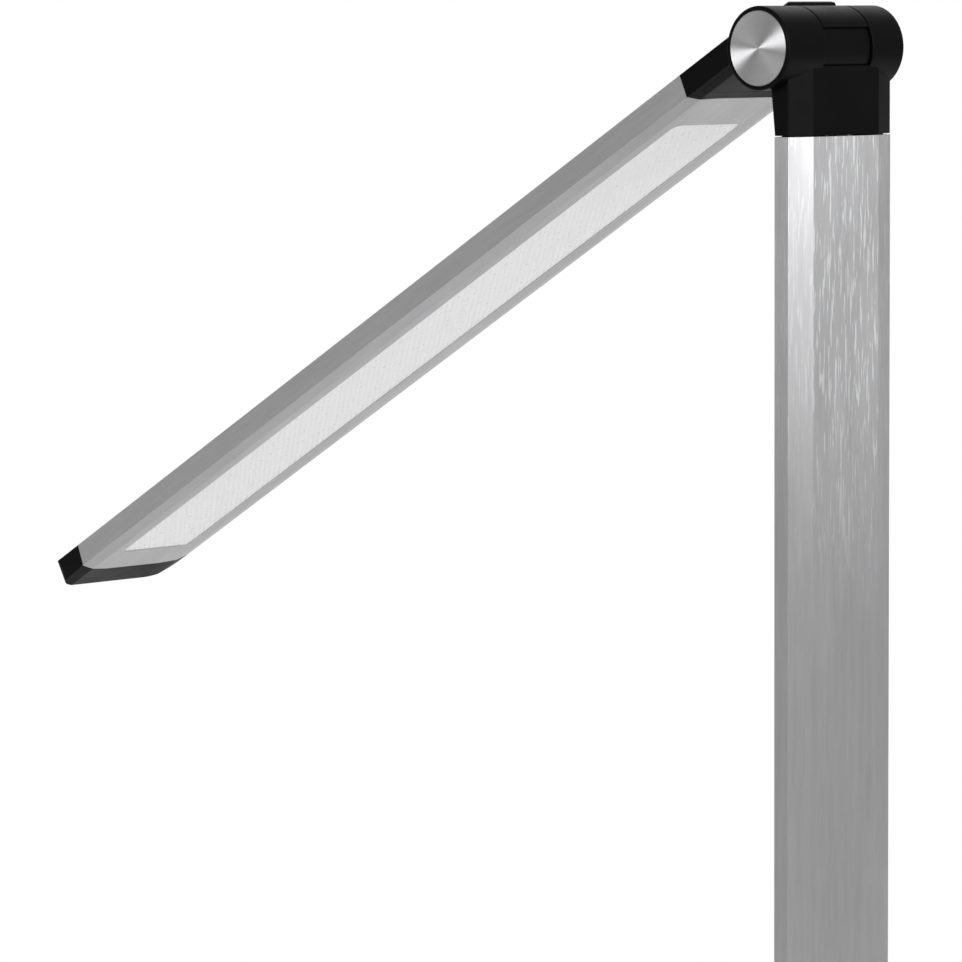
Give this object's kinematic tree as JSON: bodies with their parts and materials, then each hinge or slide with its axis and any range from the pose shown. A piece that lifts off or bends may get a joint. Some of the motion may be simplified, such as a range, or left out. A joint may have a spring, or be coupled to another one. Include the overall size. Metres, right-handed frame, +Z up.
{
  "type": "folding LED desk lamp",
  "caption": "Folding LED desk lamp: flat brushed aluminium post and arm joined by black barrel hinges, prismatic light panel under the arm, weighted base.",
  "frame": {"origin": "on the table, under the middle of the base", "axes": "+Z up along the post, +X along the hinge barrels, +Y towards the arm and the front of the base"},
  "size_m": [0.2, 0.4176, 0.4826],
  "materials": {
    "brushed_aluminium": "long-grain brushed anodised aluminium",
    "spun_aluminium": "spun radial brushing",
    "black_plastic": "satin black moulded plastic",
    "clear_lens": "prismatic acrylic, frosted white",
    "white_plastic": "matte white reflector plastic",
    "steel": "zinc plated steel",
    "circuit_board": "solder mask",
    "led_board": "white coated aluminium core board",
    "led_chip": "phosphor",
    "wire": "insulated wire",
    "rubber": "matte rubber"
  },
  "bodies": {
    "base": {"base_cover": "black_plastic", "base_plate": "steel", "base_screws": "steel", "base_weight": "steel", "rubber_pad": "rubber", "base_knuckle": "black_plastic", "knuckle_screws": "steel", "control_board": "circuit_board", "button_switch": "steel", "power_inlet": "black_plastic"},
    "post": {"post_foot": "black_plastic", "hinge_head": "black_plastic", "post_extrusion": "brushed_aluminium", "post_top_screws": "steel", "post_bottom_screws": "steel", "post_wires": "wire", "upper_hinge_bolt": "steel", "upper_lock_nut": "steel", "upper_friction_washers": "steel", "lower_hinge_bolt": "steel", "lower_lock_nut": "steel", "lower_friction_washers": "steel", "upper_left_disc": "spun_aluminium", "upper_right_disc": "spun_aluminium", "lower_left_disc": "spun_aluminium", "lower_right_disc": "spun_aluminium"},
    "arm": {"arm_bracket": "black_plastic", "bracket_cover": "black_plastic", "cover_screws": "steel", "bracket_screws": "steel", "arm_wires": "wire", "arm_extrusion": "brushed_aluminium", "prismatic_lens": "clear_lens", "diffuser_sheet": "white_plastic", "reflector_tray": "white_plastic", "led_board": "led_board", "led_chips": "led_chip", "heat_spreader": "brushed_aluminium", "tip_cap": "black_plastic"},
    "button": {"power_button": "brushed_aluminium"}
  },
  "joints": [
    {"name": "post_tilt", "type": "hinge", "parent": "base", "child": "post", "pos_m": [0, -0.038, 0.032], "axis": [1, 0, 0], "range_deg": [-30, 15]},
    {"name": "arm_tilt", "type": "hinge", "parent": "post", "child": "arm", "pos_m": [0, -0.038, 0.4675], "axis": [1, 0, 0], "range_deg": [-60.4, 52]},
    {"name": "button_press", "type": "slide", "parent": "base", "child": "button", "axis": [0, 0, -1], "range_m": [0, 0.0008], "stiffness_N_per_m": 1500}
  ]
}
